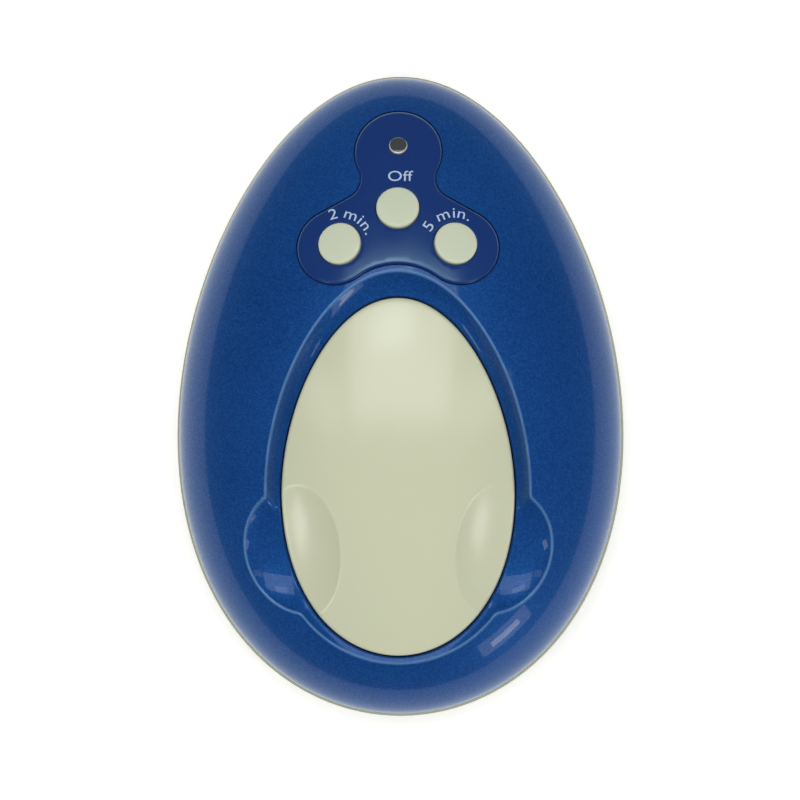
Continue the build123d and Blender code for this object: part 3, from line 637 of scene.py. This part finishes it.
def boolean(piece, tool, operation):
    modifier = piece.modifiers.new("cut", "BOOLEAN")
    modifier.object = tool
    modifier.operation = operation
    modifier.solver = "EXACT"
    choose(piece)
    bpy.ops.object.modifier_apply(modifier=modifier.name)
    bpy.data.objects.remove(tool)


def curved_block(name, low_grow, high):
    """Block over the keypad whose underside follows the dome, offset by low_grow."""
    bpy.ops.mesh.primitive_grid_add(x_subdivisions=block_cells, y_subdivisions=block_cells, size=1)
    piece = bpy.context.object
    piece.name = piece.data.name = name
    places = np.empty(len(piece.data.vertices) * 3, np.float32)
    piece.data.vertices.foreach_get("co", places)
    places = places.reshape(-1, 3)
    x, y = places[:, 0] * block_size[0], block_middle + places[:, 1] * block_size[1]
    places[:] = ring(x, y, dome_height(x, y, low_grow)) * mm
    piece.data.vertices.foreach_set("co", places.ravel())
    choose(piece)
    bpy.ops.object.mode_set(mode="EDIT")
    bpy.ops.mesh.select_all(action="SELECT")
    bpy.ops.mesh.extrude_region_move()
    bpy.ops.transform.resize(value=(1, 1, 0), center_override=(0, 0, high * mm))
    bpy.ops.mesh.select_all(action="SELECT")
    bpy.ops.mesh.normals_make_consistent(inside=False)
    bpy.ops.object.mode_set(mode="OBJECT")
    return piece


pocket = curved_block("pocket", -keypad_sunk, block_top)
boolean(pocket, prism("pocket_outline", keypad_outline(keypad_gap), prism_low, prism_high), "INTERSECT")
boolean(upper_shell, pocket, "DIFFERENCE")
smooth_by_angle(upper_shell, 40)
print("with its pocket the upper shell has", len(upper_shell.data.vertices), "points")

# %% [markdown]
# Each point of the skin now gets its crest value, the strength of a painted highlight: highest where the
# dome and the hollows meet, and 0 a short way to either side. The gap in height between the two, divided by
# its slope, is the distance to that line.

# %% Painted highlight on the crest lines
# How far either side of a crest line the painted highlight reaches, in mm, and how strong it is at the line.
highlight_reach, highlight_strength = 0.42, 0.5
crest_step, slope_limits, skin_depth = 0.05, (0.2, 4.0), 0.1


def hollow_depth(x, y):
    return dome_height(x, y) - hollow_height(x, y)


def paint_crest_highlights(piece):
    """Give every point of the skin's outside the strength of its painted crest highlight, as an attribute
    that the lacquer reads.
    """
    x, y, z = (corners_of(piece) / mm).T
    depth = hollow_depth(x, y)
    slope = np.hypot(hollow_depth(x + crest_step, y) - depth,
                     hollow_depth(x, y + crest_step) - depth) / crest_step
    distance = np.abs(depth) / np.clip(slope, *slope_limits)
    outside = np.abs(z - shell_height(x, y)) < skin_depth
    near = np.clip(1 - distance / highlight_reach, 0, 1) * outside * highlight_strength
    piece.data.attributes.new("crest", "FLOAT", "POINT").data.foreach_set("value", near.astype(np.float32))


paint_crest_highlights(upper_shell)
dress(upper_shell, "case", "blue_pearl", blue_pearl, "top_shell")

# %% [markdown]
# ## The lid
# A cream moulding with a soft edge and two thumb hollows that continue the scoops. Its rings run from the
# middle of the top outwards, round the edge, down the wall, and back up inside, so it is a real cap with a
# wall.

# %% Lid
lid_wall, lid_edge, lid_scoop_edge = 1.9, 0.55, 0.07
lid_top_rings, lid_inner_rings = 84, 20
lid_foot_chamfer, lid_corner = 0.2, 0.6


def lid_top(x, y):
    return soft_min(lid_height(x, y), scoop_floor(lid_height, x, y, **lid_scoop), lid_scoop_edge)


def lid_ring(share, lowered=0.0, grow=0.0):
    x, y = lid_outline(turns, grow)
    x, y = x * share, lid_middle + (y - lid_middle) * share
    return x, y, lid_top(x, y) - lowered


def lid_rings():
    top_share = 1 - lid_edge / lid_half_width
    rings = [ring(*lid_ring(share)) for share in (0.0, *np.linspace(0.02, top_share, lid_top_rings))]
    rim, inward = lid_outline(turns), lid_outline(turns, -lid_edge)
    for angle in np.radians((18, 36, 54, 72, 90)):
        x, y = between(inward, rim, sin(angle))
        rings.append(ring(x, y, lid_top(x, y) - lid_edge * (1 - cos(angle))))
    top = rings[-1][:, 2]
    rings += [ring(*rim, top + (deck_level - top) * share) for share in (0.3, 0.65, 0.97)]
    rings.append(ring(*lid_outline(turns, -lid_foot_chamfer), deck_level))
    x, y = lid_outline(turns, -lid_wall)
    rings.append(ring(x, y, deck_level))
    rings.append(ring(x, y, lid_top(x, y) - lid_wall - lid_corner))
    rings += [ring(*lid_ring(share, lid_wall, -lid_wall))
              for share in np.linspace(0.97, 0.03, lid_inner_rings)]
    rings.append(ring(*lid_ring(0.0, lid_wall)))
    return rings


lid = band("lid_cap", lid_rings())
smooth_by_angle(lid, 50)
dress(lid, "lid", "cream_plastic", cream, "lid")

# %% [markdown]
# ## The base shell
# Only its rim shows, as a pale line round the wide end. It has the right shape in the CAD model. A CAD mesh
# is loose triangles, so a copy is merged and shaded smooth.

# %% Base shell
dress(smooth_copy("base_shell"), "case", "cream_plastic", cream, "base_shell")

# %% [markdown]
# ## The keypad panel
# A navy moulding with a soft pillowed edge that catches the light, and four round holes. The edge is woven
# from offset copies of the outline, and each hole from rings round its own axis. Between them lies a sheet
# of small triangles: the outline's and the holes' own points with a grid of points between, set on the
# dome's height. It could be cut from a block, but this keeps the glossy face free of ripples.

# %% Helpers for the panel
sheet_step, least_near, same_place = 0.8, 0.55, 1e-7


def inside_loops(points, loops):
    """Whether points lie inside the first loop and outside the holes, counting edges to their right."""
    crossings = np.zeros(len(points), int)
    for loop in loops:
        for (ax, ay), (bx, by) in zip(loop[:, :2], np.roll(loop, -1, axis=0)[:, :2]):
            if ay != by:
                spans = (ay > points[:, 1]) != (by > points[:, 1])
                crossings += spans & (points[:, 0] < ax + (bx - ax) * (points[:, 1] - ay) / (by - ay))
    return crossings % 2 == 1


def sheet_between(name, loops, height):
    """Sheet inside a loop of points in mm and round its holes, with a grid at the given height."""
    corners = np.concatenate(loops)
    edges, first = [], 0
    for loop in loops:
        edges += [(first + i, first + (i + 1) % len(loop)) for i in range(len(loop))]
        first += len(loop)
    low, high = corners[:, :2].min(axis=0), corners[:, :2].max(axis=0)
    rows, columns = np.arange(low[1], high[1], sheet_step), np.arange(low[0], high[0], sheet_step)
    grid = np.stack(np.meshgrid(columns, rows), axis=-1).reshape(-1, 2)
    near = np.sqrt(((grid[:, None] - corners[None, :, :2]) ** 2).sum(axis=-1)).min(axis=1)
    grid = grid[inside_loops(grid, loops) & (near > least_near * sheet_step)]
    places = np.vstack((corners, ring(grid[:, 0], grid[:, 1], height(grid[:, 0], grid[:, 1]))))
    flat = [Vector(place) for place in places[:, :2]]
    _, _, triangles, sources, _, _ = geometry.delaunay_2d_cdt(flat, edges, [], 0, same_place)
    faces = np.array([[sources[i][0] for i in triangle] for triangle in triangles])
    kept = faces[inside_loops(places[faces, :2].mean(axis=1), loops)]
    mesh = bpy.data.meshes.new(name)
    mesh.from_pydata((places * mm).tolist(), [], kept.tolist())
    piece = bpy.data.objects.new(name, mesh)
    bpy.context.scene.collection.objects.link(piece)
    return piece


def joined(name, pieces):
    """One closed mesh from pieces whose edges meet."""
    deselect_all()
    for piece in pieces:
        piece.select_set(True)
    bpy.context.view_layer.objects.active = pieces[0]
    bpy.ops.object.join()
    whole = bpy.context.object
    whole.name = whole.data.name = name
    close_doubles(whole, 0.004)
    return whole


# %% [markdown]
# Each hole is square to the dome at its own place, and its rim is slightly rounded. The rings run from the
# face over the rim and down through the panel.

# %% Holes for the buttons and the window
button_radius, button_gap = 4.9, 0.2
button_places = {
    "off_button": (0.0, 40.7),
    "two_minute_button": (-13.1, 32.45),
    "five_minute_button": (13.1, 32.45),
}
window_radius, window_place = 2.15, (0.0, 55.8)
button_hole_edge, window_hole_edge, hole_points = 0.16, 0.3, 64


def panel_face(x, y):
    return dome_height(x, y, keypad_proud)


def hole_ring(place, radius, drop):
    """Circle about a place on the panel's face, drop mm below it along the hole's own axis."""
    origin, x_axis, y_axis, normal = tangent_frame(panel_face, *place)
    angles = np.arange(hole_points)[:, None] * 2 * pi / hole_points
    around = np.array(origin) + radius * (np.cos(angles) * np.array(x_axis)
                                          + np.sin(angles) * np.array(y_axis))
    x, y = around[:, 0], around[:, 1]
    return ring(x, y, panel_face(x, y)) - drop * np.array(normal)


def hole_rings(place, radius, edge):
    """Rings of a hole whose rim is rounded with the given radius, from the face down through the panel."""
    steps = [(radius + edge * (1 - sin(a)), edge * (1 - cos(a))) for a in np.linspace(0, pi / 2, 5)]
    foot = hole_ring(place, radius, keypad_proud + keypad_sunk)
    return [hole_ring(place, *step) for step in steps] + [foot]


holes = [hole_rings(place, button_radius + button_gap, button_hole_edge) for place in button_places.values()]
holes.append(hole_rings(window_place, window_radius, window_hole_edge))
print("holes at", *button_places.values(), window_place)

# %% [markdown]
# The panel's edge rises from the pocket's floor and rolls over into the face. Face and underside are sheets
# with the same four holes, and the walls of edge and holes close them into one solid.

# %% Panel
pillow_width, pillow_height = 0.7, 0.55


def panel_rings():
    x, y = keypad_outline().T
    rings = [ring(x, y, dome_height(x, y, -keypad_sunk)), ring(x, y, panel_face(x, y) - pillow_height)]
    for angle in np.radians((15, 30, 45, 60, 75, 90)):
        x, y = keypad_outline(-pillow_width * (1 - cos(angle))).T
        rings.append(ring(x, y, panel_face(x, y) - pillow_height * (1 - sin(angle))))
    return rings


edge_rings = panel_rings()
face = sheet_between("panel_face", [edge_rings[-1]] + [rings[0] for rings in holes], panel_face)
underside = sheet_between("panel_underside", [edge_rings[0]] + [rings[-1] for rings in holes],
                          lambda x, y: dome_height(x, y, -keypad_sunk))
walls = [band("panel_wall", rings) for rings in [edge_rings] + holes]
panel = joined("keypad_face", [face, underside] + walls)
smooth_by_angle(panel, 50)
dress(panel, "case", "keypad_navy", navy, "keypad_panel")

# %% [markdown]
# A button is a turned part: its half profile is a line of points spun about its axis. The flat face is very
# slightly crowned and the edge well rounded, which gives the bright rim. Below, a flange keeps it in the
# shell and a stem reaches down to its switch. It is modelled once at the origin, and each copy's mesh is
# then set on the dome, square to it, with its stem as long as its place needs.

# %% Buttons
button_top, button_edge, button_crown = 0.62, 0.45, 0.08
flange_radius, flange_top, flange_low = 6.2, -3.05, -4.05
stem_radius, stem_end = 1.8, -7.0
spin_steps = 96


def turned(name, profile):
    """Closed solid of revolution about Z from points (radius, height) in mm, from top to bottom."""
    mesh = bpy.data.meshes.new(name)
    count = len(profile)
    mesh.from_pydata([(r * mm, 0, z * mm) for r, z in profile], [(i, i + 1) for i in range(count - 1)], [])
    piece = bpy.data.objects.new(name, mesh)
    bpy.context.scene.collection.objects.link(piece)
    choose(piece)
    bpy.ops.object.mode_set(mode="EDIT")
    bpy.ops.mesh.select_all(action="SELECT")
    bpy.ops.mesh.spin(steps=spin_steps, angle=2 * pi, center=(0, 0, 0), axis=(0, 0, 1))
    bpy.ops.object.mode_set(mode="OBJECT")
    close_doubles(piece, 0.001)
    return piece


def button_profile():
    """Half profile of a button as points (radius, height): face, round edge, skirt, flange and stem."""
    flat = button_radius - button_edge
    face = [(r, button_top + button_crown * (1 - (r / flat) ** 2)) for r in np.linspace(0, flat, 6)]
    edge = [(button_radius - button_edge * (1 - sin(a)), button_top - button_edge * (1 - cos(a)))
            for a in np.linspace(0, pi / 2, 7)]
    skirt = [(button_radius, flange_top), (flange_radius, flange_top), (flange_radius, flange_low)]
    return face[:-1] + edge + skirt + [(stem_radius, flange_low), (stem_radius, stem_end), (0, stem_end)]


def set_on_dome(piece, place):
    """Move a piece's mesh from the origin to a place on the keypad's face, square to the dome."""
    origin, x_axis, y_axis, normal = tangent_frame(dome_height, *place)
    turn = Matrix((x_axis, y_axis, normal)).transposed().to_4x4()
    piece.data.transform(Matrix.Translation((origin + normal * keypad_proud) * mm) @ turn)


def stem_foot(place, x, y):
    """Height at which the point x, y of a button's stem meets the plane in which all the stems end."""
    off_origin, _, _, off_normal = tangent_frame(dome_height, *button_places["off_button"])
    origin, x_axis, y_axis, normal = tangent_frame(dome_height, *place)
    point = origin + x_axis * x + y_axis * y + normal * keypad_proud
    raised = (point - off_origin - off_normal * keypad_proud).dot(off_normal)
    return (stem_end - raised) / normal.dot(off_normal)


button = turned("button", button_profile())
smooth_by_angle(button, 50)
for node, place in button_places.items():
    copy = button.copy()
    copy.data = button.data.copy()
    copy.name = copy.data.name = node + "_turned"
    bpy.context.scene.collection.objects.link(copy)
    for vertex in copy.data.vertices:
        if vertex.co.z < (flange_low - 1) * mm:
            vertex.co.z = stem_foot(place, vertex.co.x / mm, vertex.co.y / mm) * mm
    set_on_dome(copy, place)
    dress(copy, node, "button_cream", button_cream, node)
print("three buttons from one profile of", len(button_profile()), "points")
bpy.data.objects.remove(button)

# %% [markdown]
# The window is a smoked lens that stands a little proud of its hole. The bevel on its front side is a
# piece of its own with a paler finish, a painted highlight that shows as a crescent where the rim would
# catch the light.

# %% Window
lens_radius, lens_edge, lens_top, lens_fall, lens_foot, lens_shift = 1.93, 0.1, 0.20, 0.08, -0.5, 0.17
bevel_radius, bevel_top, bevel_low, bevel_foot = 2.11, 0.04, -0.12, -1.3
bevel_bends = [(1.5, bevel_top), (1.9, 0.0)]
lens_profile = [(r, lens_top - lens_fall * (r / lens_radius) ** 2)
                for r in np.linspace(0, lens_radius - lens_edge, 8)]
lens = turned("window_lens", lens_profile + [(lens_radius, 0.0), (lens_radius, lens_foot), (0, lens_foot)])
bevel_profile = [(0, bevel_top), *bevel_bends, (bevel_radius, bevel_low)]
bevel = turned("window_glint_bevel", bevel_profile + [(bevel_radius, bevel_foot), (0, bevel_foot)])
# The lens is moved to the rear, so that the pale bevel with its painted highlight shows only at the front, as
# a crescent.
lens.data.transform(Matrix.Translation((0, lens_shift * mm, 0)))
for piece, finish in ((lens, "smoked_window"), (bevel, "window_glint_bevel")):
    smooth_by_angle(piece, 50)
    set_on_dome(piece, window_place)
    dress(piece, "case", "smoked_window", finishes[finish], "indicator_lens")
print("window lens", 2 * lens_radius, "mm across, bevel", 2 * bevel_radius, "mm")

# %% [markdown]
# ## Printed words
# The keypad carries only generic words: Off over the upper button, and the minutes in an arc round each
# timer. Every letter is a text object turned into a mesh at the origin, then moved to its place on the arc
# and laid on the panel's face. The font's letters are widened, as the print is broader than the stock font.

# %% Legends
ink = moulded("legend_ink", (0.45, 0.56, 0.72), 0.45, shade=0.95)
print_rise, curve_steps = 0.02, 4
digit_height, letter_widening = 2.45, 1.22
minutes_radius, off_foot = 6.15, (0.6, 47.25)


def letter(text):
    """Flat mesh of a word or a letter at the origin, in the font's own size."""
    deselect_all()
    bpy.ops.object.text_add()
    piece = bpy.context.object
    piece.data.body = text
    piece.data.resolution_u = curve_steps
    choose(piece)
    bpy.ops.object.convert(target="MESH")
    return bpy.context.object


reference = letter("2")
reference_places = corners_of(reference)
letter_scale = digit_height / (reference_places[:, 1].max() - reference_places[:, 1].min())
bpy.data.objects.remove(reference)


def lay(piece, foot, degrees):
    """Lay a letter on the panel: its foot at a place in mm, turned clockwise by some degrees."""
    places = corners_of(piece)
    middle = (places[:, 0].max() + places[:, 0].min()) / 2
    across, up = (places[:, 0] - middle) * letter_scale * letter_widening, places[:, 1] * letter_scale
    turn = radians(degrees)
    x = foot[0] + across * cos(turn) + up * sin(turn)
    y = foot[1] - across * sin(turn) + up * cos(turn)
    laid = ring(x, y, panel_face(x, y) + print_rise) * mm
    piece.data.vertices.foreach_set("co", laid.astype(np.float32).ravel())
    piece.data.update()


def arc_words(name, centre, letters):
    """Letters round a button's centre, each with its own angle clockwise from straight up."""
    pieces = []
    for sign, degrees in letters:
        piece = letter(sign)
        turn = radians(degrees)
        lay(piece, (centre[0] + minutes_radius * sin(turn), centre[1] + minutes_radius * cos(turn)), degrees)
        pieces.append(piece)
    return joined(name, pieces)


off_word = letter("Off")
lay(off_word, off_foot, 0)
off_word.name = off_word.data.name = "word_off"
two_minutes = arc_words("word_two_minutes", button_places["two_minute_button"],
                        [("2", -13.5), ("m", 19.5), ("i", 39.5), ("n", 54.0), (".", 69.0)])
five_minutes = arc_words("word_five_minutes", button_places["five_minute_button"],
                         [("5", -56.5), ("m", -23.0), ("i", -2.5), ("n", 11.5), (".", 26.5)])
for words in (off_word, two_minutes, five_minutes):
    dress(words, "case", "button_cream", ink)

# %% [markdown]
# ## Everything else
# The inner pieces keep their CAD meshes, which are exact, and get their finish.

# %% Finishes on the CAD nodes
for node, piece in nodes.items():
    if piece.hide_render:
        continue
    piece.data.materials.clear()
    piece.data.materials.append(finishes[slot_of[node]])
print("CAD pieces shown as they are:", sum(not piece.hide_render for piece in nodes.values()))

# %% [markdown]
# ## Floor, light and camera
# The floor is plain white. Lit by the lamps alone it would look grey, so it glows a little where the camera
# or a reflection sees it, but it lights the object as matt white does.

# %% Floor
floor_white, floor_top_up = 0.85, 0.35


def backdrop_material():
    """Matt white, topped up to paper white where the camera, a reflection or a clear piece sees it."""
    material, tree, shader, _ = new_material("white_floor")
    shader.inputs["Base Color"].default_value = (floor_white, floor_white, floor_white, 1)
    shader.inputs["Roughness"].default_value = 0.9
    path = tree.nodes.new("ShaderNodeLightPath")
    seen = path.outputs["Is Camera Ray"]
    for kind in ("Is Glossy Ray", "Is Transmission Ray"):
        either = tree.nodes.new("ShaderNodeMath")
        either.operation = "MAXIMUM"
        tree.links.new(seen, either.inputs[0])
        tree.links.new(path.outputs[kind], either.inputs[1])
        seen = either.outputs[0]
    top_up = tree.nodes.new("ShaderNodeMath")
    top_up.operation = "MULTIPLY"
    top_up.inputs[1].default_value = floor_top_up
    tree.links.new(seen, top_up.inputs[0])
    shader.inputs["Emission Color"].default_value = (1, 1, 1, 1)
    tree.links.new(top_up.outputs[0], shader.inputs["Emission Strength"])
    return material


bpy.ops.mesh.primitive_plane_add(size=6.0, location=(0, 0, 0))
floor = bpy.context.object
floor.name = "floor"
floor.data.materials.append(backdrop_material())
print("floor glows", floor_top_up, "times as bright as white")

# %% [markdown]
# A large soft box above and behind shows as the gloss on the lid, with a brighter core towards its far
# side. The boxes at the left and the right, the two in front and the low one at the front right give the
# streaks on the blue. The fills light the shadows, and no surface mirrors them.

# %% Lamps
sky_colour, sky_strength = (0.92, 0.96, 1.0), 0.10
lamp_target = (0, 0, 0.03)
world = bpy.data.worlds.new("studio")
bpy.context.scene.world = world
world.use_nodes = True
world.node_tree.nodes["Background"].inputs["Color"].default_value = (*sky_colour, 1)
world.node_tree.nodes["Background"].inputs["Strength"].default_value = sky_strength


def soft_box(name, place, size, brightness, mirrored=True):
    """Rectangular lamp at a place in metres, turned to face the object, so many times as bright as white."""
    lamp = bpy.data.lights.new(name, "AREA")
    lamp.shape = "RECTANGLE"
    lamp.size, lamp.size_y = size
    lamp.energy = brightness * pi * size[0] * size[1]
    box = bpy.data.objects.new(name, lamp)
    box.location = place
    box.rotation_euler = (Vector(lamp_target) - Vector(place)).to_track_quat("-Z", "Y").to_euler()
    box.visible_glossy = mirrored
    bpy.context.scene.collection.objects.link(box)


soft_box("over_box", (0.0, 0.28, 1.0), (0.72, 0.44), 2.9)
soft_box("over_core", (-0.06, 0.40, 0.99), (0.30, 0.14), 3.2)
soft_box("left_box", (-0.55, 0.14, 0.95), (0.16, 0.3), 1.6)
soft_box("right_box", (0.55, 0.14, 0.95), (0.16, 0.3), 1.6)
soft_box("left_front_box", (-0.72, -0.50, 0.82), (0.20, 0.20), 5.0)
soft_box("right_front_box", (0.80, -0.47, 0.65), (0.20, 0.20), 3.8)
soft_box("low_box", (0.80, -1.02, 0.35), (0.26, 0.10), 7.0)
soft_box("low_box_glow", (0.76, -0.97, 0.34), (0.44, 0.26), 2.5)
for side in (-1, 1):
    soft_box("side_fill", (side * 1.2, -0.5, 0.8), (0.8, 0.8), 1.3, mirrored=False)
soft_box("rear_fill", (0.0, 1.5, 0.45), (1.6, 0.35), 1.2, mirrored=False)
soft_box("fill_box", (0.0, -0.3, 1.4), (1.6, 1.6), 1.35, mirrored=False)
print("lamps:", len(bpy.data.lights))

# %% [markdown]
# The camera stands 600 mm up and slightly in front, where the outlines of the lid and the case line up with
# the photo. The lens is given in pixels: 2486 from the eye to a frame that is 800 wide.

# %% Camera
camera_place, camera_target = (13.5, -39.5, 600.0), (0.0, -1.52, 16.0)
focal_pixels, frame_pixels = 2486.0, 800.0
camera = bpy.data.objects.new("camera", bpy.data.cameras.new("camera"))
camera.data.sensor_width = 36.0
camera.data.lens = focal_pixels / frame_pixels * camera.data.sensor_width
camera.location = Vector(camera_place) * mm
back = (Vector(camera_place) - Vector(camera_target)).normalized()
right = Vector((0, 1, 0)).cross(back).normalized()
camera.rotation_mode = "QUATERNION"
camera.rotation_quaternion = Matrix((right, back.cross(right), back)).transposed().to_quaternion()
bpy.context.scene.collection.objects.link(camera)
bpy.context.scene.camera = camera
bpy.context.scene.view_settings.view_transform = "Standard"
print("lens of", round(camera.data.lens, 1), "mm")
